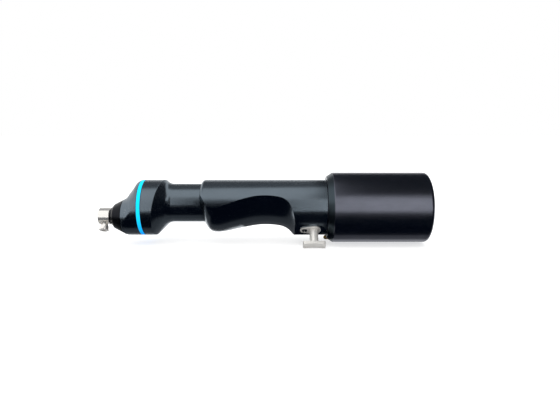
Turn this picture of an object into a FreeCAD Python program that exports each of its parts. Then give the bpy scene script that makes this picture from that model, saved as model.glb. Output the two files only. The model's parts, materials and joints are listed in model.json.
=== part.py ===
import FreeCAD, Part
import math
import os
from FreeCAD import Vector

# Battery surgical drill, in millimetres. It is drawn upright: +X runs from the chuck mouth to the
# battery, +Z is the palm side and the trigger points to -Z. The spindle turns on the X axis. At the
# end every piece is rolled about X, so that the drill lies on its battery and its trigger pad.

# Axes
gear_module = 0.75
pinion_teeth = 12
spindle_gear_teeth = 22
body_z = 8.4
motor_z = gear_module * (pinion_teeth + spindle_gear_teeth) / 2
rest_roll = -41.0

# Clearances
running = 0.03
fitted = 0.05
seam_gap = 0.3
tooth_backlash = 0.10

# Chuck and spindle
sleeve_radius = 6.8
sleeve_length = 9.0
sleeve_round = 0.7
shank_radius = 2.25
shank_depth = 20.0
lock_flat_height = 4.9
lock_angle = 12.0
lock_screw_radius = 1.25
lock_neck_radius = 2.4
lock_head_radius = 3.9
lock_head_height = 6.6
lock_hex_radius = 1.9
lock_flutes = 8
spindle_radius = 4.0
spindle_tail_radius = 3.5
spindle_shoulder_radius = 5.0

# Nose cone
nose_tip_radius = 7.2
nose_seam_radius = 13.6
nose_length = 10.7
nose_angle = 27.0
nose_spigot_radius = 10.6
nose_spigot_length = 4.4
nose_spigot_bore = 9.3
nose_bearing_radius = 7.5
nose_bearing_width = 4.5
seal_width = 2.2
seal_radius = 6.1

# Head
body_radius = 22.2
head_wall = 2.5
head_length = 16.5
rear_head_length = 18.3
head_slope = 55.0
head_round = 6.8
head_full_reach = 1.6
seam_bevel = 0.5
colour_ring_width = 3.4
skirt_length = 7.5
skirt_wall = 2.0
neck_cone_angle = 45.0
plate_thickness = 4.0
plate_seat_lip = 1.0
plate_screw_inset = 8.0
plate_screw_sink = 1.6
plate_screw_bite = 4.0
plate_screw_angle = 62.0
plate_screw_radius = 1.0

# Gear train
tooth_angle = 25.0
addendum = 0.8
dedendum = 1.05
planet_module = 0.6
sun_teeth = 12
planet_teeth = 12
planet_count = 3
gear_width = 6.0
planet_width = 5.6
ring_gear_wall = 1.1
ring_gear_width = 10.0
planet_pin_radius = 1.3
carrier_disc = 2.2
carrier_shaft_radius = 2.8
pinion_shaft_radius = 2.2
pinion_tip_radius = 1.6
front_bearing_radius = 3.0
front_bearing_width = 2.6
carrier_bearing_radius = 5.2
tail_bearing_radius = 6.5
small_bearing_width = 3.0
gear_side_room = 0.8

# Neck and motor
neck_radius = 15.5
neck_length = 26.4
motor_radius = 13.0
motor_length = 39.0
motor_wall = 0.8
neck_socket_radius = 14.0
neck_socket_depth = 3.7
magnet_radius = 6.6
magnet_length = 24.0
motor_shaft_radius = 1.5
stator_bore_radius = 7.2
stator_slots = 6
slot_radius = 1.6
motor_bearing_radius = 4.5
motor_bearing_width = 3.0

# Handle
handle_length = 99.1
handle_wall = 2.5
shoulder_round = 3.2
scoop_front_depth = 16.1
scoop_floor_depth = 9.7
scoop_crown = 30.0
pad_ahead = 14.6
pad_depth = 20.7
pad_length = 24.0
spigot_radius = 17.5
spigot_length = 6.1
spigot_wall = 2.4

# Trigger
trigger_inset = 10.3
trigger_shaft_radius = 3.3
trigger_pad_length = 17.4
trigger_pad_width = 7.2
trigger_pad_thickness = 3.0
trigger_pad_depth = 35.6
trigger_pad_dish = 0.7
trigger_travel = 6.0
bush_wall = 1.6
bush_length = 11.6
collar_width = 1.4
plunger_length = 8.0
keeper_thickness = 1.0
keeper_rim = 2.3
keeper_ear_radius = 3.4
keeper_ear_offset = 7.2
keeper_screw_radius = 1.25
keeper_screw_length = 6.0
spring_wire = 0.45
spring_turns = 5
sensor_ahead = 8.0
sensor_length = 15.2
sensor_width = 18.0

# Boards and contacts
board_gap = 8.0
board_height = 12.0
board_thickness = 1.6
capacitor_radius = 2.6
capacitor_length = 15.0
chip_length = 5.0
chip_width = 6.0
chip_height = 1.6
contact_pitch = 7.0
contact_radius = 1.5
contact_hold = 5.0
socket_hold = 2.0

# Battery
battery_step = 5.8
battery_front_room = 11.3
battery_wall = 2.2
battery_front_bevel = 3.2
battery_front_bevel_length = 4.8
battery_end_round = 3.2
end_cap_rim = 4.0
end_cap_thickness = 3.0
end_cap_ledge = 1.2
cell_radius = 9.1
cell_length = 65.0
cell_gap = 0.5
button_radius = 1.75
button_inset = 3.7
button_angle = 36.0
button_proud = 2.0
button_travel = 1.5
dog_width = 3.0

# Stations along the drill
nose_x = sleeve_length + seam_gap
head_x = nose_x + nose_length
ring_x = head_x + head_length - colour_ring_width
rear_head_x = ring_x + colour_ring_width
neck_x = rear_head_x + rear_head_length
handle_x = neck_x + neck_length
handle_end_x = handle_x + handle_length
trigger_x = handle_end_x - trigger_inset
scoop_rear_x = trigger_x - pad_ahead
battery_x = handle_end_x + seam_gap
battery_length = battery_front_room + cell_length + end_cap_ledge + end_cap_thickness
battery_end_x = battery_x + battery_length
battery_radius = body_radius + battery_step
end_cap_radius = battery_radius - end_cap_rim
button_reach = battery_radius - button_inset
plate_screw_reach = body_radius - plate_screw_inset
skirt_end_x = ring_x + skirt_length
plate_x = skirt_end_x - plate_thickness
motor_x = neck_x + neck_socket_depth
motor_end_x = motor_x + motor_length
gear_x = plate_x - gear_width - 3.0
planet_x = plate_x + plate_thickness + carrier_disc + 1.6
pad_x = scoop_rear_x + 0.4
pad_z = body_z - pad_depth
spigot_end_x = handle_end_x + spigot_length

X = Vector(1, 0, 0)
Y = Vector(0, 1, 0)
Z = Vector(0, 0, 1)


def rod(x, length, radius, z=0.0, y=0.0):
    return Part.makeCylinder(radius, length, Vector(x, y, z), X)


def tube(x, length, outer, inner, z=0.0, y=0.0):
    return rod(x, length, outer, z, y).cut(rod(x, length, inner, z, y))


def post(z, height, radius, x, y=0.0):
    return Part.makeCylinder(radius, height, Vector(x, y, z), Z)


def block(x, y, z, length, width, height):
    return Part.makeBox(length, width, height, Vector(x, y - width / 2, z))


def turned(points, z=0.0):
    """A solid turned about the line z along X from its half outline of (x, radius) points."""
    outline = [Vector(x, 0, z + radius) for x, radius in points]
    face = Part.Face(Part.makePolygon(outline + outline[:1]))
    return face.revolve(Vector(0, 0, z), X, 360)


def bearing(x, width, outer, inner, z=0.0):
    """A shielded ball bearing, closed on both sides, with a shallow groove in its front face."""
    ring = tube(x, width, outer, inner, z)
    middle = (outer + inner) / 2
    groove = (outer - inner) * 0.2
    return ring.cut(tube(x, 0.3, middle + groove, middle - groove, z))


def involute(angle):
    return math.tan(angle) - angle


def gear_profile(teeth, module, root, tip, half_tooth):
    """Flat outline of a gear about the X axis, first tooth at +Z. half_tooth is the half angle of
    a tooth at the pitch circle. Each flank is one arc through three points of the involute."""
    pitch = teeth * module / 2
    pressure = math.radians(tooth_angle)
    base = pitch * math.cos(pressure)
    low = max(root, base * 1.001)

    def flank_angle(radius):
        turn = math.acos(base / radius)
        return half_tooth + involute(pressure) - involute(turn)

    def at(radius, angle):
        return Vector(0, radius * math.sin(angle), radius * math.cos(angle))

    edges = []
    middle = (low + tip) / 2
    step = 2 * math.pi / teeth
    for tooth in range(teeth):
        centre = tooth * step
        up = [at(r, centre - flank_angle(r)) for r in (low, middle, tip)]
        down = [at(r, centre + flank_angle(r)) for r in (tip, middle, low)]
        next_low = at(root, centre + step - flank_angle(low))
        last_low = at(root, centre + flank_angle(low))
        first_low = at(root, centre - flank_angle(low))
        if low > root + 1e-6:
            edges.append(Part.LineSegment(first_low, up[0]).toShape())
        edges.append(Part.Arc(*up).toShape())
        edges.append(Part.Arc(up[2], at(tip, centre), down[0]).toShape())
        edges.append(Part.Arc(*down).toShape())
        if low > root + 1e-6:
            edges.append(Part.LineSegment(down[2], last_low).toShape())
        valley = at(root, centre + step / 2)
        edges.append(Part.Arc(last_low, valley, next_low).toShape())
    return Part.Face(Part.Wire(edges))


def spur(teeth, module, width, bore, x, z, turn=0.0, y=0.0):
    """A spur gear with stub teeth, its first tooth turned from +Z by turn degrees about X."""
    pitch = teeth * module / 2
    half_tooth = math.pi / (2 * teeth) - tooth_backlash / (4 * pitch)
    root = pitch - dedendum * module
    tip = pitch + addendum * module
    gear = gear_profile(teeth, module, root, tip, half_tooth).extrude(Vector(width, 0, 0))
    gear = gear.cut(rod(-1, width + 2, bore))
    gear.rotate(Vector(0, 0, 0), X, turn)
    gear.translate(Vector(x, y, z))
    return gear


def around(radius, angle, z):
    """(y, z) of a point at this radius and angle from +Z, turning towards -Y, about height z."""
    turn = math.radians(angle)
    return -radius * math.sin(turn), z + radius * math.cos(turn)


def save(name, *solids):
    shape = solids[0] if len(solids) == 1 else Part.makeCompound(list(solids))
    shape = shape.copy()
    shape.rotate(Vector(0, 0, 0), X, rest_roll)
    shape.exportStep("parts/" + name + ".step")


def steep_front():
    """The palm side of the head's front: a steep cone about body_z that rounds into the body."""
    steep = math.radians(head_slope)
    full_x = rear_head_x - head_full_reach
    arc_x = full_x - head_round * math.sin(steep)
    arc_r = body_radius - head_round * (1 - math.cos(steep))
    foot_r = 5.0
    foot_x = arc_x - (arc_r - foot_r) / math.tan(steep)
    mid_x = full_x - head_round * math.sin(steep / 2)
    mid_r = body_radius - head_round * (1 - math.cos(steep / 2))

    def at(x, radius):
        return Vector(x, 0, body_z + radius)

    outline = [
        Part.LineSegment(at(foot_x, 0), at(foot_x, foot_r)),
        Part.LineSegment(at(foot_x, foot_r), at(arc_x, arc_r)),
        Part.Arc(at(arc_x, arc_r), at(mid_x, mid_r), at(full_x, body_radius)),
        Part.LineSegment(at(full_x, body_radius), at(rear_head_x, body_radius)),
        Part.LineSegment(at(rear_head_x, body_radius), at(rear_head_x, 0)),
        Part.LineSegment(at(rear_head_x, 0), at(foot_x, 0)),
    ]
    face = Part.Face(Part.Wire([line.toShape() for line in outline]))
    return face.revolve(Vector(0, 0, body_z), X, 360)


def front_form(x, length):
    """A slice of the head in front of its middle: the nose's cone runs on about the spindle until
    it meets the round body, and the steep front stands above it."""
    wide = 4 * body_radius
    slope = math.tan(math.radians(nose_angle))
    low = nose_seam_radius + (x - head_x) * slope
    cone = turned([(x, 0), (x, low), (x + length, low + length * slope), (x + length, 0)])
    lower = cone.common(rod(x, length, body_radius, body_z))
    upper = steep_front().common(block(x, 0, -wide / 2, length, wide, wide))
    return upper.fuse(lower)


def rear_form():
    """The rear half of the head: the round body cut by the cone that runs down to the neck."""
    reach = body_radius * 2
    back = reach * math.tan(math.radians(neck_cone_angle))
    taper = turned([(neck_x - back, 0), (neck_x - back, neck_radius + reach),
                    (neck_x, neck_radius), (neck_x, 0)], motor_z)
    return rod(rear_head_x, neck_x - rear_head_x, body_radius, body_z).common(taper)


def make_head():
    skirt_radius = body_radius - head_wall
    skirt_bore = skirt_radius - skirt_wall
    plate_radius = skirt_bore

    front = front_form(head_x, ring_x - head_x)
    front = front.fuse(rod(ring_x - 1, skirt_length + 1, skirt_radius, body_z))
    front = front.cut(rod(head_x, nose_spigot_length + fitted, nose_spigot_radius + fitted))
    front = front.cut(rod(head_x, plate_x - head_x, nose_spigot_bore))
    pinion_room = pinion_teeth * gear_module / 2 + 1.5
    room_x = gear_x - gear_side_room
    front = front.cut(rod(room_x, plate_x - room_x, pinion_room, motor_z))
    seat_x = gear_x - front_bearing_width - 0.6
    front = front.cut(rod(seat_x, gear_x - seat_x, front_bearing_radius + fitted, motor_z))
    front = front.cut(rod(plate_x - 2.6, 2.6, skirt_bore - plate_seat_lip, body_z))
    front = front.cut(rod(plate_x, plate_thickness, plate_radius + fitted, body_z))
    save("front_head_housing", front)

    ring = front_form(ring_x, colour_ring_width)
    ring = ring.cut(rod(ring_x - 1, colour_ring_width + 2, skirt_radius + fitted, body_z))
    save("colour_ring", ring)

    ring_outer = planet_module * (sun_teeth + 2 * planet_teeth) / 2 + dedendum * planet_module
    ring_outer += ring_gear_wall
    rear = rear_form()
    socket_length = 1 + neck_socket_depth - fitted
    rear = rear.fuse(rod(neck_x - 1, socket_length, neck_socket_radius - fitted, motor_z))
    rear = rear.cut(rod(rear_head_x - 1, skirt_end_x - rear_head_x + 1, skirt_radius + fitted, body_z))
    rear = rear.cut(rod(skirt_end_x - 1, ring_gear_width + 3.0, ring_outer + fitted, motor_z))
    rear = rear.cut(rod(skirt_end_x, neck_x, ring_outer - ring_gear_wall, motor_z))

    plate = rod(plate_x, plate_thickness, plate_radius, body_z)
    plate = plate.cut(rod(plate_x, small_bearing_width, tail_bearing_radius))
    plate = plate.cut(rod(plate_x, plate_thickness, tail_bearing_radius - 1.9))
    plate = plate.cut(rod(plate_x + 1.0, small_bearing_width, carrier_bearing_radius, motor_z))
    plate = plate.cut(rod(plate_x, plate_thickness, carrier_shaft_radius + 0.6, motor_z))
    screws = []
    head_radius = 2 * plate_screw_radius
    for side in (-1, 1):
        y, z = around(plate_screw_reach, 180 + side * plate_screw_angle, body_z)
        plate = plate.cut(rod(plate_x, plate_thickness, plate_screw_radius + 0.1, z, y))
        plate = plate.cut(rod(plate_x, plate_screw_sink, head_radius + 0.1, z, y))
        rear = rear.cut(rod(skirt_end_x, plate_screw_bite + 1.0, plate_screw_radius, z, y))
        head = rod(plate_x + 0.1, plate_screw_sink - 0.1, head_radius, z, y)
        shank = rod(plate_x + 1.0, plate_thickness + plate_screw_bite - 1.0, plate_screw_radius, z, y)
        screws.append(head.fuse(shank))
    save("rear_head_housing", rear)
    save("bearing_plate", plate)
    save("plate_screws", *screws)
    ring_gear(ring_outer)


def ring_gear(outer):
    """The fixed internal gear. Its tooth spaces are cut with the outline of an outside gear."""
    teeth = sun_teeth + 2 * planet_teeth
    pitch = teeth * planet_module / 2
    half_space = math.pi / (2 * teeth) + tooth_backlash / (4 * pitch)
    root = pitch + dedendum * planet_module
    tip = pitch - addendum * planet_module
    cutter = gear_profile(teeth, planet_module, tip, root, half_space)
    cutter = cutter.extrude(Vector(ring_gear_width + 2, 0, 0))
    cutter.rotate(Vector(0, 0, 0), X, 180.0 / teeth)
    x = skirt_end_x + seam_gap
    cutter.translate(Vector(x - 1, 0, motor_z))
    save("ring_gear", rod(x, ring_gear_width, outer, motor_z).cut(cutter))


def make_nose():
    slope = math.tan(math.radians(nose_angle))
    round_x = 1.6
    tip_bore = spindle_radius + 0.6
    full_r = nose_seam_radius - (nose_length - round_x - 1.6) * slope
    spigot_x = head_x + nose_spigot_length
    seat = nose_bearing_radius + fitted
    nose = turned([
        (nose_x, tip_bore), (nose_x, nose_tip_radius - 0.9), (nose_x + 0.4, nose_tip_radius - 0.3),
        (nose_x + round_x, nose_tip_radius + 0.6), (nose_x + round_x + 1.6, full_r),
        (head_x - seam_bevel, nose_seam_radius - seam_bevel * slope), (head_x, nose_seam_radius - 0.6),
        (head_x, nose_spigot_radius), (spigot_x, nose_spigot_radius), (spigot_x, seat),
        (nose_x + seal_width + 1.2, seat), (nose_x + seal_width + 1.2, seal_radius + fitted),
        (nose_x + 0.8, seal_radius + fitted), (nose_x + 0.8, tip_bore),
    ])
    save("nose_cone", nose)
    save("shaft_seal", tube(nose_x + 0.9, seal_width, seal_radius, spindle_radius + running))
    front_x = nose_x + seal_width + 1.2
    back_x = spigot_x - nose_bearing_width
    bore = spindle_radius + running
    save(
        "spindle_bearings",
        bearing(front_x, nose_bearing_width, nose_bearing_radius, bore),
        bearing(back_x, nose_bearing_width, nose_bearing_radius, bore),
        bearing(plate_x, small_bearing_width, tail_bearing_radius - fitted,
                spindle_tail_radius + running),
    )
    spacer_x = front_x + nose_bearing_width
    spacer = tube(spacer_x, back_x - spacer_x, nose_bearing_radius, nose_bearing_radius - 1.0)
    save("bearing_spacer", spacer)


def make_spindle():
    shoulder_x = head_x + nose_spigot_length
    sleeve = turned([
        (0, 0), (0, sleeve_radius - sleeve_round), (sleeve_round * 0.3, sleeve_radius - sleeve_round * 0.3),
        (sleeve_round, sleeve_radius), (sleeve_length - 0.3, sleeve_radius),
        (sleeve_length, sleeve_radius - 0.3), (sleeve_length, 0),
    ])
    body = turned([
        (sleeve_length, 0), (sleeve_length, spindle_radius), (shoulder_x + 0.1, spindle_radius),
        (shoulder_x + 0.1, spindle_shoulder_radius), (gear_x, spindle_shoulder_radius),
        (gear_x, spindle_radius), (plate_x - 0.4, spindle_radius), (plate_x - 0.4, spindle_tail_radius),
        (plate_x + 3.2, spindle_tail_radius), (plate_x + 3.2, 0),
    ])
    spindle = sleeve.fuse(body)
    lock_x = sleeve_length / 2
    flat = block(0.8, 0, -sleeve_radius - 1, sleeve_length - 1.6, 3 * sleeve_radius,
                 sleeve_radius + 1 - lock_flat_height)
    hole = post(-sleeve_radius, sleeve_radius, lock_screw_radius + running, lock_x)
    for tool in (flat, hole):
        tool.rotate(Vector(0, 0, 0), X, lock_angle)
    spindle = spindle.cut(flat).cut(hole)
    spindle = spindle.cut(rod(-1, shank_depth + 1, shank_radius + fitted / 2))
    save("drill_spindle", spindle)
    save("spindle_gear", spur(spindle_gear_teeth, gear_module, gear_width, spindle_radius, gear_x, 0.0))
    clip_width = 1.0
    clip_radius = spindle_radius + 1.2
    save("gear_clip", tube(gear_x + gear_width, clip_width, clip_radius, spindle_radius))


def make_lock_screw():
    """The radial screw that grips a tool shank: fluted cone head, hex socket and short thread."""
    lock_x = sleeve_length / 2
    neck_z = -lock_flat_height - 0.5
    foot_z = neck_z - lock_head_height
    outline = [
        (0, -shank_radius - 0.3), (lock_screw_radius, -shank_radius - 0.3),
        (lock_screw_radius, neck_z), (lock_neck_radius, neck_z),
        (lock_head_radius, foot_z + 1.3), (lock_head_radius, foot_z + 0.4),
        (lock_head_radius - 0.4, foot_z), (0, foot_z),
    ]
    face = Part.Face(Part.makePolygon([Vector(r, 0, z) for r, z in outline + outline[:1]]))
    screw = face.revolve(Vector(0, 0, 0), Z, 360)
    screw.translate(Vector(lock_x, 0, 0))
    hexagon = [
        Vector(lock_x + lock_hex_radius * math.cos(math.radians(60 * i)),
               lock_hex_radius * math.sin(math.radians(60 * i)), foot_z)
        for i in range(6)
    ]
    socket = Part.Face(Part.makePolygon(hexagon + hexagon[:1])).extrude(Vector(0, 0, 2.2))
    screw = screw.cut(socket)
    for flute in range(lock_flutes):
        turn = math.radians((flute + 0.5) * 360 / lock_flutes)
        out = lock_head_radius + 0.35
        screw = screw.cut(post(foot_z - 1, lock_head_height + 1, 0.75,
                               lock_x + out * math.cos(turn), out * math.sin(turn)))
    screw.rotate(Vector(0, 0, 0), X, lock_angle)
    save("tool_lock_screw", screw)


def make_planet_stage():
    orbit = planet_module * (sun_teeth + planet_teeth) / 2
    disc_x = planet_x - carrier_disc - 0.4
    carrier = rod(disc_x, carrier_disc, orbit + planet_pin_radius + 0.8, motor_z)
    shaft_x = gear_x + gear_width
    carrier = carrier.fuse(rod(shaft_x + 0.2, disc_x - shaft_x, carrier_shaft_radius, motor_z))
    carrier = carrier.fuse(rod(gear_x, disc_x - gear_x, pinion_shaft_radius, motor_z))
    carrier = carrier.fuse(rod(gear_x - 3.0, 3.2, pinion_tip_radius, motor_z))
    clips = []
    for planet in range(planet_count):
        angle = planet * 360.0 / planet_count
        y, z = around(orbit, angle, motor_z)
        pin_length = carrier_disc + planet_width + 1.4
        carrier = carrier.fuse(rod(disc_x, pin_length, planet_pin_radius, z, y))
        clip_x = planet_x + planet_width + 0.2
        clips.append(tube(clip_x, 0.6, planet_pin_radius + 0.8, planet_pin_radius, z, y))
        gear = spur(planet_teeth, planet_module, planet_width, planet_pin_radius + running,
                    planet_x, z, -angle + 180.0 / planet_teeth, y)
        save("planet_gear_" + str(planet + 1), gear)
    save("planet_carrier", carrier)
    save("planet_clips", *clips)
    pinion = spur(pinion_teeth, gear_module, gear_width, pinion_shaft_radius, gear_x, motor_z,
                  180.0 + 180.0 / pinion_teeth)
    save("drive_pinion", pinion)
    save(
        "pinion_bearings",
        bearing(gear_x - front_bearing_width - 0.5, front_bearing_width, front_bearing_radius,
                pinion_tip_radius + running, motor_z),
        bearing(plate_x + 1.0, small_bearing_width, carrier_bearing_radius - fitted,
                carrier_shaft_radius + running, motor_z),
    )
    sun = spur(sun_teeth, planet_module, planet_width + 0.6, motor_shaft_radius, planet_x - 0.2, motor_z)
    save("sun_gear", sun)


def make_motor():
    bearing_room = motor_bearing_radius + 1.2
    flange = 2.0
    front = rod(motor_x, flange, motor_radius, motor_z)
    front = front.fuse(rod(motor_x, motor_bearing_width + 0.8, bearing_room, motor_z))
    front = front.cut(rod(motor_x + 0.8, motor_bearing_width, motor_bearing_radius, motor_z))
    front = front.cut(rod(motor_x, 2.0, motor_shaft_radius + 0.8, motor_z))
    save("motor_front_flange", front)
    rear_x = motor_end_x - flange
    rear = rod(rear_x, flange, motor_radius, motor_z)
    rear_seat = motor_end_x - 0.8 - motor_bearing_width
    rear = rear.fuse(rod(rear_seat, motor_bearing_width, bearing_room, motor_z))
    rear = rear.cut(rod(rear_seat, motor_bearing_width, motor_bearing_radius, motor_z))
    rear = rear.cut(rod(rear_x, flange, motor_shaft_radius + 0.8, motor_z))
    save("motor_rear_cap", rear)
    can_length = motor_length - 2 * flange
    save("motor_can", tube(motor_x + flange, can_length, motor_radius, motor_radius - motor_wall, motor_z))
    front_seat = motor_x + 0.8
    save(
        "motor_bearings",
        bearing(front_seat, motor_bearing_width, motor_bearing_radius - running,
                motor_shaft_radius + running, motor_z),
        bearing(rear_seat, motor_bearing_width, motor_bearing_radius - running,
                motor_shaft_radius + running, motor_z),
    )
    magnet_x = (motor_x + motor_end_x - magnet_length) / 2
    save("rotor_magnet", tube(magnet_x, magnet_length, magnet_radius, motor_shaft_radius, motor_z))
    shaft_x = planet_x - 0.2
    save("motor_shaft", rod(shaft_x, motor_end_x + 1.6 - shaft_x, motor_shaft_radius, motor_z))
    core_outer = motor_radius - motor_wall
    core = tube(magnet_x, magnet_length, core_outer, stator_bore_radius, motor_z)
    slot_orbit = (core_outer + stator_bore_radius) / 2
    turns = 2.2
    windings = []
    for slot in range(stator_slots):
        y, z = around(slot_orbit, (slot + 0.5) * 360 / stator_slots, motor_z)
        core = core.cut(rod(magnet_x, magnet_length, slot_radius + fitted, z, y))
        windings.append(rod(magnet_x - turns / 2, magnet_length + turns, slot_radius, z, y))
    end_half = slot_radius + 0.4
    for x in (magnet_x - turns, magnet_x + magnet_length):
        windings.append(tube(x, turns, slot_orbit + end_half, slot_orbit - end_half, motor_z))
    save("stator_core", core)
    save("stator_windings", windings[0].fuse(windings[1:]).removeSplitter())
    board = tube(motor_end_x, 1.0, motor_radius - 0.5, motor_shaft_radius + 1.0, motor_z)
    save("position_board", board)


def scoop_tool():
    """The finger scoop. It is turned about a line scoop_crown above the handle's axis, so that its
    floor stays crowned across the fingers. Along the handle the floor swells down from the neck,
    rises to its shallowest two thirds of the way back, and ends in a steep wall at the pad."""
    span = scoop_rear_x - handle_x
    floor = [
        (-0.04, 6.0), (0.022, 10.0), (0.074, scoop_front_depth - 1.3), (0.148, scoop_front_depth),
        (0.323, scoop_front_depth - 2.2), (0.445, scoop_front_depth - 4.2),
        (0.58, scoop_floor_depth + 0.4), (0.70, scoop_floor_depth), (0.811, scoop_floor_depth + 0.6),
        (0.899, scoop_floor_depth + 2.4), (0.954, scoop_floor_depth + 5.6),
        (0.984, scoop_floor_depth + 9.0), (1.0, pad_depth + 1.0),
    ]
    points = [Vector(handle_x + share * span, 0, body_z - depth) for share, depth in floor]
    curve = Part.BSplineCurve()
    curve.interpolate(points)
    below = body_z - 2 * body_radius
    far = Vector(points[-1].x, 0, below)
    near = Vector(points[0].x, 0, below)
    sides = [Part.makeLine(points[-1], far), Part.makeLine(far, near), Part.makeLine(near, points[0])]
    face = Part.Face(Part.Wire([curve.toShape()] + sides))
    tool = face.revolve(Vector(0, 0, body_z + scoop_crown), X, 90)
    tool.rotate(Vector(0, 0, body_z + scoop_crown), X, -45)
    return tool


def teardrop(grow, z, height):
    """The keeper plate's outline, grown outwards: a ring round the trigger shaft and an ear."""
    ring_r = trigger_shaft_radius + keeper_rim + grow
    ear_r = keeper_ear_radius + grow
    ear_x = trigger_x - keeper_ear_offset
    lean = math.acos((ring_r - ear_r) / keeper_ear_offset)
    touch = []
    for x, radius in ((trigger_x, ring_r), (ear_x, ear_r)):
        for side in (-1, 1):
            touch.append(Vector(x - radius * math.cos(lean), side * radius * math.sin(lean), z))
    web = Part.makePolygon([touch[0], touch[1], touch[3], touch[2], touch[0]])
    drop = Part.Face(web).extrude(Vector(0, 0, height))
    drop = drop.fuse(post(z, height, ring_r, trigger_x)).fuse(post(z, height, ear_r, ear_x))
    return drop.removeSplitter()


def make_handle():
    handle = rod(handle_x, handle_length, body_radius, body_z)
    rim = [edge for edge in handle.Edges if abs(edge.CenterOfMass.x - handle_x) < 0.01]
    handle = handle.makeFillet(shoulder_round, rim)
    handle = handle.cut(scoop_tool())
    pad_end = pad_length - 7.0
    pad = block(pad_x - 1, 0, pad_z - 20, pad_end + 1, 4 * body_radius, 20)
    pad = pad.fuse(post(pad_z - 20, 20, 7.0, pad_x + pad_end))
    handle = handle.cut(pad)
    neck = rod(neck_x, neck_length + 8, neck_radius, motor_z)
    handle = handle.fuse(neck).removeSplitter()
    handle = handle.fuse(rod(handle_end_x - 1, spigot_length + 1, spigot_radius, body_z))
    handle = handle.cut(rod(neck_x, neck_socket_depth, neck_socket_radius, motor_z))
    handle = handle.cut(rod(neck_x, motor_end_x + 1.2 - neck_x, motor_radius + fitted, motor_z))

    hollow_length = handle_end_x - handle_wall - motor_end_x - 1
    hollow = rod(motor_end_x + 1, hollow_length, body_radius - handle_wall, body_z)
    solid_end = scoop_rear_x + handle_wall
    wide = 4 * body_radius
    hollow = hollow.cut(block(motor_end_x, 0, body_z - wide, solid_end - motor_end_x, wide, wide))
    boss = teardrop(1.8, pad_z - 0.5, bush_length + 0.5)
    hollow = hollow.cut(boss)
    handle = handle.cut(hollow)
    handle = handle.cut(rod(handle_end_x - handle_wall - 1, spigot_length + handle_wall + 2,
                            spigot_radius - spigot_wall, body_z))
    bush_radius = trigger_shaft_radius + bush_wall + fitted
    handle = handle.cut(post(pad_z - 1, bush_length + 3, bush_radius, trigger_x))
    screw_x = trigger_x - keeper_ear_offset
    handle = handle.cut(post(pad_z - 1, keeper_screw_length + 1, keeper_screw_radius, screw_x))
    notch_y, notch_z = around(spigot_radius - 1.0, 180 + button_angle, body_z)
    notch = block(spigot_end_x - 1.3, 0, -3, 3, dog_width + 0.6, 6)
    notch.rotate(Vector(0, 0, 0), X, button_angle)
    notch.translate(Vector(0, notch_y, notch_z))
    handle = handle.cut(notch)
    save("handle_housing", handle)


def make_trigger():
    face_z = body_z - trigger_pad_depth
    half = trigger_pad_length / 2
    dish = half * half / (2 * trigger_pad_dish)
    pad = block(trigger_x - half, 0, face_z, trigger_pad_length, trigger_pad_width,
                trigger_pad_thickness)
    corners = [edge for edge in pad.Edges if abs(edge.tangentAt(0).z) > 0.9]
    pad = pad.makeFillet(1.6, corners)
    hollow = Part.makeCylinder(dish, 2 * trigger_pad_width,
                               Vector(trigger_x, -trigger_pad_width, face_z + trigger_pad_dish - dish), Y)
    pad = pad.cut(hollow)
    shaft_z = face_z + trigger_pad_thickness - 0.5
    bush_top = pad_z + bush_length
    shaft = post(shaft_z, bush_top + collar_width + 0.2 - shaft_z, trigger_shaft_radius, trigger_x)
    plunger = post(bush_top, collar_width + plunger_length, 2.0, trigger_x)
    trigger = pad.fuse(shaft).fuse(plunger).removeSplitter()
    groove = post(bush_top + 0.2, collar_width, trigger_shaft_radius + 1, trigger_x)
    trigger = trigger.cut(groove.cut(post(bush_top, collar_width + 1, 2.6, trigger_x)))
    save("trigger_bar", trigger)
    collar = post(bush_top + 0.2, collar_width, trigger_shaft_radius + 1.3, trigger_x)
    save("trigger_collar", collar.cut(post(bush_top, collar_width + 1, 2.6, trigger_x)))
    magnet_z = bush_top + collar_width + plunger_length
    save("trigger_magnet", post(magnet_z, 2.0, 2.0, trigger_x))

    bush = post(pad_z, bush_length, trigger_shaft_radius + bush_wall, trigger_x)
    bush = bush.cut(post(pad_z - 1, bush_length + 2, trigger_shaft_radius + fitted, trigger_x))
    save("trigger_bush", bush)
    screw_x = trigger_x - keeper_ear_offset
    plate = teardrop(0.0, pad_z - keeper_thickness, keeper_thickness)
    plate = plate.cut(post(pad_z - 2, 4, trigger_shaft_radius + 0.25, trigger_x))
    sink = Part.makeCone(2.2, 1.3, keeper_thickness, Vector(screw_x, 0, pad_z - keeper_thickness), Z)
    save("keeper_plate", plate.cut(sink))
    slot = block(screw_x - 0.3, 0, pad_z - keeper_thickness, 0.6, 6.0, 0.45)
    screw = sink.fuse(post(pad_z - 0.1, keeper_screw_length, keeper_screw_radius - 0.02, screw_x)).cut(slot)
    save("keeper_screw", screw)

    module_z = magnet_z + 2.0 + 0.6
    room = body_radius - handle_wall
    sensor_x = trigger_x - sensor_ahead
    module = block(sensor_x, 0, module_z, sensor_length, sensor_width, body_z + room - module_z)
    module = module.common(rod(sensor_x, sensor_length, room - seam_gap, body_z))
    module = module.cut(post(module_z, trigger_travel + 1.2, trigger_shaft_radius + 1.6, trigger_x))
    save("trigger_sensor", module)
    spring_z = bush_top + 0.2 + collar_width
    seat_z = module_z + trigger_travel + 1.2
    spring = coil_spring(seat_z - spring_z, 2.5 + spring_wire, spring_wire, spring_turns)
    spring.translate(Vector(trigger_x, 0, spring_z))
    save("trigger_spring", spring)


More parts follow.
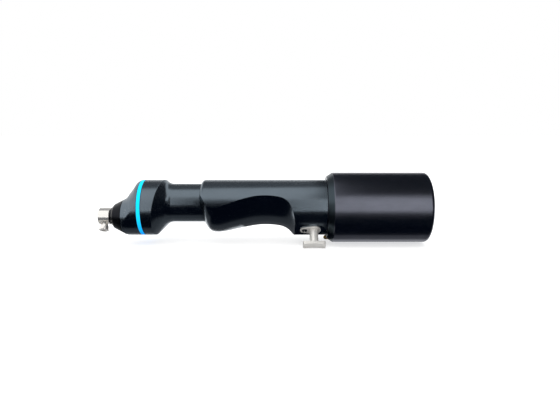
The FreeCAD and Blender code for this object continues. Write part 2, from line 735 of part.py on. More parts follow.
def coil_spring(length, radius, wire, turns):
    """A compression spring that stands on the origin along Z, of square wire."""
    pitch = (length - 2 * wire) / turns
    helix = Part.makeHelix(pitch, pitch * turns, radius)
    corners = []
    for corner in range(4):
        turn = math.radians(90 * corner + 45)
        corners.append(Vector(radius + wire * math.cos(turn), 0, wire * math.sin(turn)))
    section = Part.makePolygon(corners + corners[:1])
    spring = Part.Wire(helix.Edges).makePipeShell([section], True, True)
    spring.translate(Vector(0, 0, wire))
    return spring


def make_electronics():
    room = body_radius - handle_wall - seam_gap
    board_z = body_z + board_height
    top = board_z + board_thickness
    half = math.sqrt(room ** 2 - (top - body_z) ** 2)
    board_x = motor_end_x + board_gap
    board_length = trigger_x - sensor_ahead - board_gap - board_x
    save("control_board", block(board_x, 0, board_z, board_length, 2 * half, board_thickness))
    first_x = board_x + board_gap
    chip_x = first_x + capacitor_length + 3.0
    low = board_z - capacitor_radius
    pieces = [rod(first_x, capacitor_length, capacitor_radius, low, y) for y in (-chip_width, chip_width)]
    for row in range(3):
        for y in (-chip_length, chip_length):
            x = chip_x + row * (chip_length + 1.5)
            pieces.append(block(x, y, board_z - chip_height, chip_length, chip_width, chip_height))
    pieces.append(block(first_x + 4.0, 0, top, 1.8 * chip_length, 1.5 * chip_width, 0.9 * chip_height))
    save("board_components", *pieces)


def make_contacts():
    block_r = spigot_radius - spigot_wall - fitted
    insert_x = spigot_end_x - contact_hold
    insert = rod(insert_x, contact_hold, block_r, body_z)
    pins = []
    for y in (-contact_pitch, 0.0, contact_pitch):
        insert = insert.cut(rod(insert_x, contact_hold, contact_radius, body_z, y))
        pins.append(rod(insert_x - 2.0, contact_hold + 4.6, contact_radius - 0.02, body_z, y))
    save("handle_contact_block", insert)
    save("handle_contact_pins", *pins)


def make_battery():
    inner_r = battery_radius - battery_wall
    front_wall = 2.6
    socket_r = spigot_radius + fitted
    socket_end = spigot_end_x + seam_gap
    step = battery_wall * 0.9
    shell = turned([
        (battery_x, socket_r), (battery_x, battery_radius - battery_front_bevel),
        (battery_x + battery_front_bevel_length, battery_radius), (battery_end_x - 8.0, battery_radius),
        (battery_end_x - 8.0, inner_r), (battery_x + battery_front_bevel_length, inner_r),
        (battery_x + front_wall, battery_radius - battery_front_bevel - step),
        (battery_x + front_wall, socket_r + 1.8), (socket_end + 2.0, socket_r + 1.8),
        (socket_end + 2.0, socket_r),
    ], body_z)
    tail = rod(battery_end_x - 8.0, 8.0, battery_radius, body_z)
    rim = [edge for edge in tail.Edges if abs(edge.CenterOfMass.x - battery_end_x) < 0.01]
    tail = tail.makeFillet(battery_end_round, rim)
    cap_x = battery_end_x - end_cap_thickness
    tail = tail.cut(rod(battery_end_x - 8.0, 8.0 - end_cap_thickness, end_cap_radius - 1.5, body_z))
    tail = tail.cut(rod(battery_end_x - 8.0, 8.0 - end_cap_thickness - end_cap_ledge, inner_r, body_z))
    tail = tail.cut(rod(cap_x, end_cap_thickness, end_cap_radius, body_z))
    shell = shell.fuse(tail).removeSplitter()
    button_y, button_z = around(button_reach, 180 + button_angle, body_z)
    button_run = front_wall + 4.5 + button_travel
    shell = shell.cut(rod(battery_x - 1, button_run, button_radius + fitted, button_z, button_y))
    slot = block(battery_x + front_wall, 0, -8, 8.0, dog_width + 0.8, 8)
    slot.rotate(Vector(0, 0, 0), X, button_angle)
    slot_y, slot_z = around(spigot_radius - 1.5, 180 + button_angle, body_z)
    slot.translate(Vector(0, slot_y, slot_z))
    shell = shell.cut(slot)
    save("battery_housing", shell)
    save("battery_end_cap", rod(cap_x, end_cap_thickness, end_cap_radius - fitted, body_z))
    cell_x = battery_x + battery_front_room
    make_cells(cell_x)
    make_release_button(front_wall, button_y, button_z, cell_x)

    holder_r = socket_r - 0.02
    carrier_x = socket_end
    carrier = rod(carrier_x, socket_hold, holder_r, body_z)
    dog_room = block(carrier_x - 1, 0, -holder_r - 1, 4.0, dog_width + 0.8, 4.0)
    dog_room.rotate(Vector(0, 0, 0), X, button_angle)
    dog_room.translate(Vector(0, 0, body_z))
    carrier = carrier.cut(dog_room)
    sockets = []
    socket_radius = contact_radius + 0.5
    for y in (-contact_pitch, 0.0, contact_pitch):
        carrier = carrier.cut(rod(carrier_x, socket_hold, socket_radius, body_z, y))
        sockets.append(tube(carrier_x, socket_hold + 0.4, socket_radius - 0.02,
                            contact_radius + fitted, body_z, y))
    save("battery_contact_block", carrier)
    save("battery_contacts", *sockets)


def make_cells(cell_x):
    offset = cell_radius + cell_gap / 2
    places = [(side_y * offset, side_z * offset) for side_y in (-1, 1) for side_z in (-1, 1)]
    cells = []
    tray_r = battery_radius - battery_wall - fitted
    tray_width = 3.0
    trays = []
    for tray_x in (cell_x, cell_x + cell_length - tray_width):
        tray = rod(tray_x, tray_width, tray_r, body_z)
        for y, z in places:
            tray = tray.cut(rod(tray_x, tray_width, cell_radius + fitted, body_z + z, y))
        trays.append(tray)
    for y, z in places:
        cells.append(rod(cell_x, cell_length, cell_radius, body_z + z, y))
    save("battery_cells", *cells)
    save("cell_trays", *trays)
    strips = []
    for side in (-1, 1):
        strips.append(block(cell_x + cell_length, side * offset, body_z - offset - 4,
                            0.3, 7.0, 2 * offset + 8))
    save("cell_links", *strips)


def make_release_button(front_wall, y, z, tray_x):
    """The domed brass button in the battery's front face, with the dog that holds the spigot."""
    front = battery_x - button_proud
    length = button_proud + front_wall + 1.6
    body = rod(front + button_radius, length - button_radius, button_radius, z, y)
    dome = Part.makeSphere(button_radius, Vector(front + button_radius, y, z))
    save("battery_release_button", body.fuse(dome).removeSplitter())
    dog_x = spigot_end_x - 1.1
    inward = button_reach - (spigot_radius - 1.6)
    dog = Part.makeBox(1.6, dog_width, inward, Vector(dog_x, -dog_width / 2, button_reach - inward))
    dog.rotate(Vector(0, 0, 0), X, 180 + button_angle)
    dog.translate(Vector(0, 0, body_z))
    shift = dog_x - (front + length)
    stem = rod(front + length, max(shift, 0.1), button_radius, z, y)
    save("battery_release_dog", dog.fuse(stem).removeSplitter())
    spring_x = dog_x + 1.6
    spring = coil_spring(tray_x - spring_x, 1.0, 0.25, 4)
    spring.rotate(Vector(0, 0, 0), Y, 90)
    spring_y, spring_z = around(button_reach - 1.5, 180 + button_angle, body_z)
    spring.translate(Vector(spring_x, spring_y, spring_z))
    save("release_spring", spring)


def main():
    os.makedirs("parts", exist_ok=True)
    make_spindle()
    make_lock_screw()
    make_nose()
    make_head()
    make_planet_stage()
    make_motor()
    make_handle()
    make_trigger()
    make_electronics()
    make_contacts()
    make_battery()


main()
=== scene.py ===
import json
import math
import bpy
import bmesh
from mathutils import Matrix, Vector, kdtree


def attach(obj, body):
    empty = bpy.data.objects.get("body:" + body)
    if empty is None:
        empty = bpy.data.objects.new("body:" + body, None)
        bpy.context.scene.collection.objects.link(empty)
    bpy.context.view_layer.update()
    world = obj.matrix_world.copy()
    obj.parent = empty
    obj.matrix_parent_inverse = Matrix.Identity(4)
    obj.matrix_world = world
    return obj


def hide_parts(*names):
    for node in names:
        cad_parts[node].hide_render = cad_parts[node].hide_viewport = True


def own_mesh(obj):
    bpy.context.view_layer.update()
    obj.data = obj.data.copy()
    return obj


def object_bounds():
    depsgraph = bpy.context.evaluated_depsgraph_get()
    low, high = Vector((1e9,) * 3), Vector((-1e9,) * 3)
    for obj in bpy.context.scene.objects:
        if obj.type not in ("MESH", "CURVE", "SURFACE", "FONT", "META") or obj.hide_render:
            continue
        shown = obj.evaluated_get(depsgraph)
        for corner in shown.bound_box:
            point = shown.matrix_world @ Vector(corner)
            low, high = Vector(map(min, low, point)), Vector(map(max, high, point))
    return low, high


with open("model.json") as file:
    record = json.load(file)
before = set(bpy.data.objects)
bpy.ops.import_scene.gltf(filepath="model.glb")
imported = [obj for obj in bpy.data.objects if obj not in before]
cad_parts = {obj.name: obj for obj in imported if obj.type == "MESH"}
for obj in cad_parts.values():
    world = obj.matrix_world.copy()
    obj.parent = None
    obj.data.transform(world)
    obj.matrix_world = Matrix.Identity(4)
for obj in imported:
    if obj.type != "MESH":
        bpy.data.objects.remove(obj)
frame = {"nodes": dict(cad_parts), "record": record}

cad_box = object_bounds()
scene = bpy.context.scene
scene.view_settings.view_transform = "Standard"

# Pieces are drawn upright, in millimetres: +X runs from the chuck mouth to the battery, +Z is the
# palm side, and Z 0 is the spindle's axis. lay_down turns them to the pose in which the drill lies
# on its battery and trigger.
mm = 0.001
lay_down = Matrix.Rotation(math.radians(-41), 4, "X")
body_z = 8.4  # axis of the head, handle and battery
motor_z = 12.75  # axis of the motor and neck
head_x = 20.0  # front of the front head
rear_head_x = 36.5
neck_x = 54.8
ring_middle = (rear_head_x - 1.7) * mm
ring_paint_edge, ring_seam_shadow_edge = 1.30 * mm, 1.42 * mm  # either side of ring_middle; between them the cyan turns into painted seam shadow
rim_end = 184.9 * mm  # end of the battery's bevelled front rim


# Shared looks

def feed(tree, value, socket):
    """Links a value that comes from another node. A plain number or colour is set."""
    if isinstance(value, bpy.types.NodeSocket):
        tree.links.new(value, socket)
    else:
        socket.default_value = value


def fill(tree, node, **values):
    """Feeds a node's inputs by their names, with _ for a space."""
    for name, value in values.items():
        feed(tree, value, node.inputs[name.replace("_", " ")])


def new_group(name, inputs, outputs):
    """A shader node group with these sockets. Returns it with its input and output nodes."""
    group = bpy.data.node_groups.new(name, "ShaderNodeTree")
    for socket, kind, value in inputs:
        made = group.interface.new_socket(socket, in_out="INPUT", socket_type=kind)
        if value is not None:
            made.default_value = value
    for socket, kind in outputs:
        group.interface.new_socket(socket, in_out="OUTPUT", socket_type=kind)
    return group, group.nodes.new("NodeGroupInput"), group.nodes.new("NodeGroupOutput")


def noise(tree, vector, scale, detail=3.0, roughness=0.55):
    node = tree.nodes.new("ShaderNodeTexNoise")
    fill(tree, node, Vector=vector, Scale=scale, Detail=detail, Roughness=roughness)
    return node.outputs["Fac"]


def fit(tree, value, low, high, to_low=0.0, to_high=1.0):
    """The value, mapped from low..high to to_low..to_high and held there."""
    node = tree.nodes.new("ShaderNodeMapRange")
    fill(tree, node, Value=value, From_Min=low, From_Max=high, To_Min=to_low, To_Max=to_high)
    return node.outputs["Result"]


def math_node(tree, operation, first, second=0.0):
    node = tree.nodes.new("ShaderNodeMath")
    node.operation = operation
    feed(tree, first, node.inputs[0])
    feed(tree, second, node.inputs[1])
    return node.outputs[0]


def swing(tree, value, amount):
    """How far a noise is from its middle, times amount."""
    return math_node(tree, "MULTIPLY", math_node(tree, "SUBTRACT", value, 0.5), amount)


def stretched(tree, vector, scale, turn=(0, 0, 0)):
    """The same coordinates, scaled apart along the axes, so that a pattern runs into streaks."""
    node = tree.nodes.new("ShaderNodeMapping")
    fill(tree, node, Vector=vector, Scale=scale, Rotation=turn)
    return node.outputs["Vector"]


def axes(tree, vector):
    """The vector's parts, by X, Y and Z."""
    node = tree.nodes.new("ShaderNodeSeparateXYZ")
    tree.links.new(vector, node.inputs[0])
    return node.outputs


def mixed(tree, mask, first, second):
    """The first colour where mask is 0, the second where it is 1."""
    node = tree.nodes.new("ShaderNodeMix")
    node.data_type = "RGBA"
    first_colour, second_colour = 6, 7  # several of its sockets share the names A and B
    tree.links.new(mask, node.inputs["Factor"])
    feed(tree, first, node.inputs[first_colour])
    feed(tree, second, node.inputs[second_colour])
    return node.outputs[2]


def make_tone_group():
    """A finish that isn't quite even: broad cloudy patches and a fine speckle in the surface."""
    tree, given, out = new_group(
        "uneven tone",
        [("Vector", "NodeSocketVector", None), ("Patch Size", "NodeSocketFloat", 60.0),
         ("Patch Amount", "NodeSocketFloat", 0.2), ("Speckle Size", "NodeSocketFloat", 2500.0),
         ("Speckle Amount", "NodeSocketFloat", 0.1),
         ("Colour", "NodeSocketColor", (0.5, 0.5, 0.5, 1))],
        [("Colour", "NodeSocketColor"), ("Height", "NodeSocketFloat")])
    patches = noise(tree, given.outputs["Vector"], given.outputs["Patch Size"], 4.0)
    speckle = noise(tree, given.outputs["Vector"], given.outputs["Speckle Size"], 2.0, 0.7)
    patch_shift = swing(tree, patches, given.outputs["Patch Amount"])
    speckle_shift = swing(tree, speckle, given.outputs["Speckle Amount"])
    level = math_node(tree, "ADD", math_node(tree, "ADD", patch_shift, speckle_shift), 1.0)
    scaled = tree.nodes.new("ShaderNodeVectorMath")
    scaled.operation = "SCALE"
    tree.links.new(given.outputs["Colour"], scaled.inputs[0])
    tree.links.new(level, scaled.inputs["Scale"])
    tree.links.new(scaled.outputs[0], out.inputs["Colour"])
    tree.links.new(speckle, out.inputs["Height"])
    return tree


def make_scuff_group():
    """Thin handling scratches in two directions, broken up by a broad noise. Mask is 1 in one."""
    tree, given, out = new_group(
        "handling scuffs",
        [("Vector", "NodeSocketVector", None), ("Size", "NodeSocketFloat", 90.0),
         ("Cover", "NodeSocketFloat", 0.3)],
        [("Mask", "NodeSocketFloat")])
    bend = 0.006  # metres
    streak_low, streak_high = 0.66, 0.72
    bare_level, cover_span, cover_soft = 0.75, 0.5, 0.12
    wobble = tree.nodes.new("ShaderNodeTexNoise")
    fill(tree, wobble, Vector=given.outputs["Vector"], Scale=40.0)
    bent = tree.nodes.new("ShaderNodeVectorMath")
    bent.operation = "MULTIPLY_ADD"
    feed(tree, wobble.outputs["Color"], bent.inputs[0])
    feed(tree, (bend, bend, bend), bent.inputs[1])
    feed(tree, given.outputs["Vector"], bent.inputs[2])
    lines = []
    for scale, turn in (((0.3, 9, 9), (0.3, 0.2, 0.5)), ((7, 0.4, 7), (0.2, 0.5, -0.4))):
        along = stretched(tree, bent.outputs[0], scale, turn)
        streak = noise(tree, along, given.outputs["Size"], 2.0, 0.6)
        lines.append(fit(tree, streak, streak_low, streak_high))
    both = math_node(tree, "MAXIMUM", lines[0], lines[1])
    broad = noise(tree, given.outputs["Vector"], 55.0, 3.0)
    edge = math_node(tree, "SUBTRACT", bare_level,
                     math_node(tree, "MULTIPLY", given.outputs["Cover"], cover_span))
    cover = fit(tree, broad, edge, math_node(tree, "ADD", edge, cover_soft))
    tree.links.new(math_node(tree, "MULTIPLY", both, cover), out.inputs["Mask"])
    return tree


def make_turning_group():
    """Fine rings left by the lathe: noise that changes along the drill's axis and not round it."""
    tree, given, out = new_group(
        "turning marks",
        [("Vector", "NodeSocketVector", None), ("Pitch", "NodeSocketFloat", 6000.0)],
        [("Height", "NodeSocketFloat")])
    along = stretched(tree, given.outputs["Vector"], (1, 0.02, 0.02))
    tree.links.new(noise(tree, along, given.outputs["Pitch"], 2.0, 0.7), out.inputs["Height"])
    return tree


uneven_tone = make_tone_group()
handling_scuffs = make_scuff_group()
turning_marks = make_turning_group()


def new_material(name):
    """A bare material with a Principled shader. Returns it with its tree and the shader."""
    material = bpy.data.materials.new(name)
    material.use_nodes = True
    return material, material.node_tree, material.node_tree.nodes["Principled BSDF"]


def object_place(tree):
    return tree.nodes.new("ShaderNodeTexCoord").outputs["Object"]


def place(tree, group, where, **values):
    """A node group at these coordinates, its inputs fed by name. Returns what it gives."""
    node = tree.nodes.new("ShaderNodeGroup")
    node.node_tree = group
    fill(tree, node, Vector=where, **values)
    return node.outputs


def bumped(tree, shader, height, strength, distance):
    bump = tree.nodes.new("ShaderNodeBump")
    fill(tree, bump, Height=height, Strength=strength, Distance=distance)
    tree.links.new(bump.outputs["Normal"], shader.inputs["Normal"])


def satin_metal(name, colour, worn, rough, patch=0.2, scuff=0.3, speckle=0.03, metallic=1.0):
    """Fine blasted and anodised metal: cloudy tone, faint speckle, scuffs in a paler metal."""
    material, tree, shader = new_material(name)
    where = object_place(tree)
    tone = place(tree, uneven_tone, where, Colour=colour, Patch_Size=60.0, Patch_Amount=patch,
                 Speckle_Amount=speckle)
    scuffs = place(tree, handling_scuffs, where, Size=90.0, Cover=scuff)
    haze = noise(tree, where, 102.0, 1.0)
    fill(tree, shader, Base_Color=mixed(tree, scuffs["Mask"], tone["Colour"], worn),
         Roughness=fit(tree, haze, 0.3, 0.7, rough * 0.95, rough * 1.05), Metallic=metallic)
    return material


def turned_steel(name, colour, rough):
    """Bare steel from the lathe: fine rings along the axis and faint smears."""
    material, tree, shader = new_material(name)
    where = object_place(tree)
    rings = place(tree, turning_marks, where)
    tone = place(tree, uneven_tone, where, Colour=colour, Patch_Size=140.0, Patch_Amount=0.25,
                 Speckle_Amount=0.06)
    smears = noise(tree, where, 220.0, 4.0)
    fill(tree, shader, Base_Color=tone["Colour"], Metallic=1.0,
         Roughness=fit(tree, smears, 0.3, 0.75, rough * 0.7, rough * 1.4))
    bumped(tree, shader, rings["Height"], strength=0.25, distance=0.00001)
    return material


def moulded(name, colour, rough, speckle=0.15):
    """A moulded or sintered surface: no metal, a fine grain and a slightly cloudy tone."""
    material, tree, shader = new_material(name)
    where = object_place(tree)
    tone = place(tree, uneven_tone, where, Colour=colour, Patch_Size=90.0, Patch_Amount=0.12,
                 Speckle_Size=1800.0, Speckle_Amount=speckle)
    haze = noise(tree, where, 130.0, 3.0)
    fill(tree, shader, Base_Color=tone["Colour"],
         Roughness=fit(tree, haze, 0.3, 0.7, rough * 0.9, rough * 1.1))
    bumped(tree, shader, tone["Height"], strength=0.3, distance=0.00003)
    return material


def battery_metal(name):
    """The battery's scuffed shell: smears that run along it, and painted shade that makes the
    bevelled front rim darker.
    """
    material, tree, shader = new_material(name)
    where = object_place(tree)
    tone = place(tree, uneven_tone, stretched(tree, where, (0.35, 1, 1)),
                 Colour=(0.178, 0.187, 0.228, 1), Patch_Size=200.0, Patch_Amount=0.34,
                 Speckle_Amount=0.0)
    # Painted shade: the bevelled rim is darker, for the dimmer reflection that its slant takes.
    behind_rim = fit(tree, axes(tree, where)["X"], rim_end, rim_end + 0.3 * mm)
    fill(tree, shader, Roughness=0.30, Metallic=1.0,
         Base_Color=mixed(tree, behind_rim, (0.060, 0.078, 0.092, 1), tone["Colour"]))
    return material


def colour_band(name):
    """The ring's vivid cyan, with painted shade that makes it bluer towards its underside, a painted
    azure glow, and a thin dark edge at each housing that is painted shadow in the seams.
    """
    material, tree, shader = new_material(name)
    spot = axes(tree, object_place(tree))
    from_middle = math_node(tree, "ABSOLUTE", math_node(tree, "SUBTRACT", spot["X"], ring_middle))
    # Painted shadow: a thin dark band at each edge stands for the shade in the seams against the
    # housings.
    edge = fit(tree, from_middle, ring_paint_edge, ring_seam_shadow_edge)
    # Painted shade: the cyan turns bluer towards the ring's underside, where less light falls.
    lower = fit(tree, spot["Z"], 2 * mm, -16 * mm)
    paint = mixed(tree, lower, (0.0, 0.80, 1.0, 1), (0.0, 0.40, 0.95, 1))
    # The emission is painted light: an azure glow, strongest mid-ring and gone at the dark edges,
    # that keeps the shaded parts bright though the ring is no lamp.
    fill(tree, shader, Base_Color=mixed(tree, edge, paint, (0.02, 0.03, 0.05, 1)), Roughness=0.5,
         Specular_IOR_Level=0.15, Emission_Color=(0.0, 0.25, 1.0, 1),
         Emission_Strength=fit(tree, edge, 0.0, 1.0, 0.45, 0.0))
    return material


finish = {
    "satin_housing": satin_metal("satin grey housing", (0.158, 0.193, 0.225, 1),
                                 (0.42, 0.42, 0.43, 1), 0.25),
    "nose_black": satin_metal("matte black nose", (0.018, 0.019, 0.023, 1),
                              (0.10, 0.10, 0.10, 1), 0.30, scuff=0.35),
    "cyan_ring": colour_band("cyan colour ring"),
    "polished_steel": turned_steel("polished steel", (0.96, 0.94, 0.90, 1), 0.16),
    "gear_steel": turned_steel("hardened gear steel", (0.48, 0.47, 0.45, 1), 0.3),
    "battery_shell": battery_metal("scuffed battery shell"),
    "inner_plastic": moulded("inner plastic", (0.045, 0.046, 0.05, 1), 0.5),
    "brass": turned_steel("brass", (0.78, 0.52, 0.20, 1), 0.24),
    "copper_wire": turned_steel("copper wire", (0.72, 0.30, 0.16, 1), 0.3),
    "motor_magnet": turned_steel("plated magnet", (0.56, 0.55, 0.52, 1), 0.22),
    "circuit_board": moulded("circuit board", (0.02, 0.12, 0.05, 1), 0.35, speckle=0.1),
    "seal_rubber": moulded("seal rubber", (0.018, 0.018, 0.019, 1), 0.7),
    "cell_wrap": moulded("cell wrap", (0.03, 0.16, 0.20, 1), 0.4, speckle=0.06),
}


# CAD nodes: every one gets its slot's finish, and the outer steel one of its own

for subpart in frame["record"]["subparts"]:
    slots = frame["nodes"][subpart["node"]].data.materials
    slots.clear()
    slots.append(finish[subpart["material_slot"]])

satin_steel = satin_metal("satin steel", (0.90, 0.88, 0.84, 1), (0.95, 0.95, 0.93, 1), 0.3,
                          patch=0.15, metallic=0.45, speckle=0.05, scuff=0.1)
bright_steel = satin_metal("bright chuck steel", (0.97, 0.95, 0.91, 1), (0.97, 0.95, 0.93, 1), 0.15,
                           patch=0.1, metallic=0.8, speckle=0.04, scuff=0.1)
outer_steel = {"trigger_bar": satin_steel, "keeper_plate": satin_steel,
               "drill_spindle": bright_steel, "tool_lock_screw": bright_steel}
for node_name, steel in outer_steel.items():
    frame["nodes"][node_name].data.materials[0] = steel


# Outer nodes: copies with their hard edges rounded

bodies = frame["record"]["behaviour"]["bodies"]
body_of = {node: body for body, nodes in bodies.items() for node in nodes}
edge_width = {
    "handle_housing": 0.35, "rear_head_housing": 0.3, "front_head_housing": 0.3,
    "colour_ring": 0.15, "nose_cone": 0.2, "battery_housing": 0.35, "drill_spindle": 0.12,
    "tool_lock_screw": 0.12, "trigger_bar": 0.25, "keeper_plate": 0.15,
}


def mesh_from(name, bm):
    mesh = bpy.data.meshes.new(name)
    bm.to_mesh(mesh)
    bm.free()
    return mesh


def add_object(name, data):
    made = bpy.data.objects.new(name, data)
    scene.collection.objects.link(made)
    return made


def exact_normals(bm, rounded, cad, reach):
    """A normal for each face corner, in order. Corners take the drawn surface's own normal from the
    nearest corner of the CAD node that faces the same way. The rounded faces lean from one to the
    next."""
    corners = cad.corner_normals
    near = kdtree.KDTree(len(cad.loops))
    for loop in cad.loops:
        near.insert(cad.vertices[loop.vertex_index].co, loop.index)
    near.balance()
    known = {}
    chosen = {}
    same_way = math.cos(math.radians(9))
    for face in bm.faces:
        if face in rounded:
            continue
        for loop in face.loops:
            normal, nearest = face.normal, 1.0
            for _, index, distance in near.find_range(loop.vert.co, reach):
                if corners[index].vector.dot(face.normal) > same_way and distance < nearest:
                    normal, nearest = corners[index].vector.copy(), distance
            chosen[loop] = normal
            known.setdefault(loop.vert, []).append(normal)
    normals = []
    for face in bm.faces:
        for loop in face.loops:
            if loop in chosen:
                normals.append(chosen[loop])
            elif loop.vert in known:
                normals.append(max(known[loop.vert], key=face.normal.dot))
            else:
                normals.append(loop.vert.normal)
    return [normal.copy() for normal in normals]


def ease_edges(node, width):
    """A node's own shape, its triangles merged into smooth faces and its hard edges rounded."""
    hard_angle, flat_angle, same_spot = math.radians(30), math.radians(0.6), 2e-6
    cad = frame["nodes"][node]
    bm = bmesh.new()
    bm.from_mesh(cad.data)
    bmesh.ops.remove_doubles(bm, verts=bm.verts, dist=same_spot)
    bmesh.ops.dissolve_limit(bm, angle_limit=flat_angle, verts=bm.verts, edges=bm.edges)
    hard = [edge for edge in bm.edges if edge.is_manifold and edge.calc_face_angle() > hard_angle]
    made = bmesh.ops.bevel(bm, geom=hard, offset=width * mm, offset_type="OFFSET", segments=2,
                           profile=0.5, affect="EDGES", clamp_overlap=True, material=-1)
    bm.normal_update()
    normals = exact_normals(bm, set(made["faces"]), cad.data, 1.7 * width * mm)
    mesh = mesh_from(node + "_finished", bm)
    mesh.shade_smooth()
    mesh.normals_split_custom_set(normals)
    mesh.materials.append(cad.data.materials[0])
    piece = add_object(node + "_finished", mesh)
    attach(piece, body_of[node])
    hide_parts(node)


for node_name, width in edge_width.items():
    ease_edges(node_name, width)


# Blends that the drawn solids leave as creases

def add_piece(name, bm, material, body):
    mesh = mesh_from(name, bm)
    mesh.shade_smooth()
    mesh.materials.append(material)
    piece = add_object(name, mesh)
    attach(piece, body)


def join_rings(rings):
    """Closed rings of points, drawn upright in millimetres, laid down and joined with faces."""
    bm = bmesh.new()
    rows = [[bm.verts.new(lay_down @ (Vector(spot) * mm)) for spot in ring] for ring in rings]
    for near, far in zip(rows, rows[1:]):
        for spoke in range(len(near)):
            after = (spoke + 1) % len(near)
            bm.faces.new((near[spoke], near[after], far[after], far[spoke]))
    bmesh.ops.recalc_face_normals(bm, faces=bm.faces)
    return bm


def around(x, middle_z, reach, angle):
    """The point this far from a line along X at middle_z, at this angle from +Z."""
    return x, reach * math.sin(angle), middle_z + reach * math.cos(angle)


def to_circle(start_z, angle, centre_z, radius):
    """The way from a point on the middle plane, this angle off +Z, to a circle round centre_z."""
    along = (start_z - centre_z) * math.cos(angle)
    return -along + math.sqrt(along * along - (start_z - centre_z) ** 2 + radius * radius)


def blend_front_head():
    """A thin skin over the front head, which runs the nose's cone into the steep front."""
    body_radius, cone_start, round_r = 22.2, 13.6, 6.8
    slope, steep = math.tan(math.radians(27)), math.radians(55)
    full_x = rear_head_x - 1.6  # where the head has its full radius
    arc_x = full_x - round_r * math.sin(steep)
    arc_r = body_radius - round_r * (1 - math.cos(steep))
    end_x = rear_head_x - 3.4  # in front of the ring
    start_z = 6.0  # spokes run out from here
    lift, inset, widest_blend = 0.03, 0.02, 6.0
    stations, spokes = 34, 144
    rings = []
    for station in range(stations + 1):
        share = station / stations
        x = head_x + inset + (end_x - head_x - 2 * inset) * share
        if x < arc_x:
            steep_r = arc_r - (arc_x - x) * math.tan(steep)
        else:
            steep_r = body_radius - round_r + math.sqrt(round_r ** 2 - (full_x - x) ** 2)
        cone_r = cone_start + (x - head_x) * slope
        soft = widest_blend * min(1.0, 3 * share, 2.5 * (1 - share))
        ring = []
        for spoke in range(spokes):
            angle = 2 * math.pi * spoke / spokes
            upper = to_circle(start_z, angle, body_z, steep_r)
            lower = to_circle(start_z, angle, 0.0, cone_r)
            body = to_circle(start_z, angle, body_z, body_radius)
            reach = max(upper, lower)
            overlap = max(0.0, soft - abs(upper - lower))
            if soft > 0:
                reach += overlap * overlap / (4 * soft)
            ring.append(around(x, start_z, min(reach, body) + lift, angle))
        rings.append(ring)
    add_piece("front_head_blend", join_rings(rings), finish["satin_housing"], "handpiece")


def blend_neck():
    """A soft hollow where the rear head's cone runs into the neck, turned round the motor's axis."""
    neck_radius, hollow_radius, turn = 15.53, 7.0, 45
    steps, spokes = 8, 120
    reach = hollow_radius * math.tan(math.radians(turn / 2))
    rings = []
    for step in range(steps + 1):
        slant = math.radians(turn * step / steps)
        x = neck_x + reach - hollow_radius * math.sin(slant)
        radius = neck_radius + hollow_radius * (1 - math.cos(slant))
        rings.append([around(x, motor_z, radius, 2 * math.pi * spoke / spokes)
                      for spoke in range(spokes)])
    add_piece("neck_blend", join_rings(rings), finish["satin_housing"], "handpiece")


blend_front_head()
blend_neck()


# Springs: copies of the drawn springs, each with a mesh of its own on its body

def closing_spring(node):
    """A copy of the drawn spring, on its body in place of the node, with a mesh of its own."""
    piece = add_object(node + "_closing", frame["nodes"][node].data.copy())
    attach(piece, body_of[node])
    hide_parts(node)
    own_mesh(piece)


closing_spring("trigger_spring")
closing_spring("release_spring")


# Stage, in metres: floor, cards, lamp, world, camera

floor_glow = 0.6
ambient = 0.75
card_low = cad_box[0].z + 0.0003
card_over = card_low + 0.0001  # for a card that lies on another


def white_rays(tree):
    """1 for what the camera, a mirror or glass sees, 0 for the light that falls on things."""
    path = tree.nodes.new("ShaderNodeLightPath")
    seen = math_node(tree, "MAXIMUM", path.outputs["Is Camera Ray"], path.outputs["Is Glossy Ray"])
    return math_node(tree, "MAXIMUM", seen, path.outputs["Is Transmission Ray"])


def add_stage_piece(name, bm, material):
    piece = add_object(name, mesh_from(name, bm))
    piece.data.materials.append(material)
    return piece


def make_floor():
    half_width, drop = 6.0, 0.0002
    bm = bmesh.new()
    bmesh.ops.create_grid(bm, x_segments=1, y_segments=1, size=half_width)
    bmesh.ops.translate(bm, verts=bm.verts, vec=(0, 0, cad_box[0].z - drop))
    material, tree, shader = new_material("pale floor")
    fill(tree, shader, Base_Color=(0.88, 0.88, 0.88, 1), Roughness=0.9, Specular_IOR_Level=0.0,
         Emission_Color=(1, 1, 1, 1),
         Emission_Strength=fit(tree, white_rays(tree), 0.0, 1.0, 0.0, floor_glow))
    add_stage_piece("floor", bm, material)


def make_world():
    world = bpy.data.worlds.new("white studio")
    scene.world = world
    world.use_nodes = True
    tree = world.node_tree
    fill(tree, tree.nodes["Background"], Color=(1, 1, 1, 1),
         Strength=fit(tree, white_rays(tree), 0.0, 1.0, ambient, 1.0))


def add_card(name, corners, tone):
    """A flat card of the studio that only the metal's reflections see. Its tone is 0 for black, and
    dark cards are faintly blue, as the room that they stand for."""
    bm = bmesh.new()
    bmesh.ops.contextual_create(bm, geom=[bm.verts.new(corner) for corner in corners])
    material, tree, shader = new_material(name)
    fill(tree, shader, Base_Color=(0, 0, 0, 1), Specular_IOR_Level=0.0,
         Emission_Color=(tone + 0.004, tone + 0.008, tone + 0.018, 1), Emission_Strength=1.0)
    card = add_stage_piece(name, bm, material)
    card.visible_camera = False
    card.visible_diffuse = False
    card.visible_transmission = False
    card.visible_shadow = False


def level_card(name, outline, z, tone):
    add_card(name, [(x, y, z) for x, y in outline], tone)


def table_card(name, x, y, tone, z=card_low):
    """A card flat on the table, over these ranges of x and y."""
    level_card(name, [(x[0], y[1]), (x[1], y[1]), (x[1], y[0]), (x[0], y[0])], z, tone)


def wall_card(name, start, end, top, tone):
    """An upright card that stands on the table between two points."""
    add_card(name, [(*start, card_low), (*end, card_low), (*end, top), (*start, top)], tone)


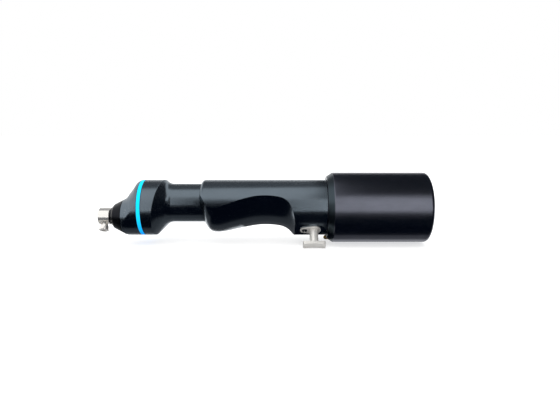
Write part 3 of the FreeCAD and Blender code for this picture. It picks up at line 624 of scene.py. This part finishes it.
def make_cards():
    """Cards on the table, in front of the drill, beside it and over it, as a product studio sets
    them, and grey ones beneath the drill that are painted shadow: the floor's shade there, as the
    metal mirrors it. Each belongs to the part of the drill that mirrors it."""
    head, neck, scoop, pad, battery, far = -0.9, 0.047, 0.080, 0.182 - 0.017, 0.182, 1.2
    front, middle, rear = -0.6, 0.002, 0.020
    head_under = -0.0125
    battery_front, battery_under, battery_middle = -0.34, -0.0145, -0.0065
    # The grey under and rear cards lie beneath the drill: painted shadow, standing for the floor's
    # shade there as the metal mirrors it.
    for name, x, y, tone in (
            ("head_table_card", (head, scoop), (front, head_under), 0.0),
            ("head_under_card", (head, scoop), (head_under, middle), 0.13),
            ("head_rear_card", (head, neck), (middle, rear), 0.40),
            ("neck_rear_card", (neck, scoop), (middle, rear), 0.20),
            ("scoop_table_card", (scoop, pad), (front, middle), 0.0),
            ("pad_table_card", (pad, battery), (-0.22, middle), 0.0),
            ("scoop_rear_card", (scoop, battery), (middle, rear), 0.10),
            ("scoop_wall_card", (0.114, 0.168), (rear, 0.070), 0.12),
            ("battery_table_card", (battery, far), (battery_front, battery_under), 0.0),
            ("battery_under_card", (battery, far), (battery_under, battery_middle), 0.17),
            ("battery_rear_card", (battery, far), (battery_middle, rear), 0.6)):
        table_card(name, x, y, tone)
    table_card("trigger_card", (0.161, 0.179), (-0.024, -0.014), 0.45, card_over)
    wall_card("centre_card", (-0.055, front), (0.165, front), 0.52, 0.0)
    level_card("head_light_card", [(head, front), (-0.09, front), (0.010, -0.17), (head, -0.17)],
               card_over, 0.95)
    wall_card("neck_side_card", (0.066, -0.05), (0.135, -0.05), 0.029, 0.0)
    wall_card("right_card", (0.75, front), (0.75, 0.5), 0.7, 0.01)
    level_card("battery_card", [(0.192, -0.215), (1.0, -0.215), (1.0, 0.35), (0.192, 0.35)],
               0.2, 0.03)
    level_card("back_card", [(-0.35, -0.05), (0.235, 0.09), (0.235, 0.9), (-0.35, 0.9)], 0.6, 0.2)


def make_lamp():
    """One broad soft lamp, high in front, for the light and shadow on what doesn't mirror."""
    light = bpy.data.lights.new("overhead lamp", "SUN")
    light.angle = math.radians(66)
    light.energy = 1.1
    lamp = add_object("overhead lamp", light)
    lamp.rotation_euler = (math.radians(25), math.radians(-8), 0)
    lamp.visible_glossy = False


def make_camera():
    """At the photograph's angle: level with the drill's side, eight degrees above the table."""
    rise = math.radians(8.0)
    distance = 0.400
    back = Vector((0, -math.cos(rise), math.sin(rise)))
    up = Vector((0, math.sin(rise), math.cos(rise)))
    middle = Vector((143.6 * mm, 0, 0)) + up * (12.85 * mm)
    camera = bpy.data.cameras.new("camera")
    camera.sensor_width = 36.0
    camera.lens = 32.2
    camera.clip_start = 0.01
    holder = add_object("camera", camera)
    holder.rotation_mode = "QUATERNION"
    holder.rotation_quaternion = (-back).to_track_quat("-Z", "Y")
    holder.location = middle + back * distance
    scene.camera = holder


make_floor()
make_world()
make_cards()
make_lamp()
make_camera()
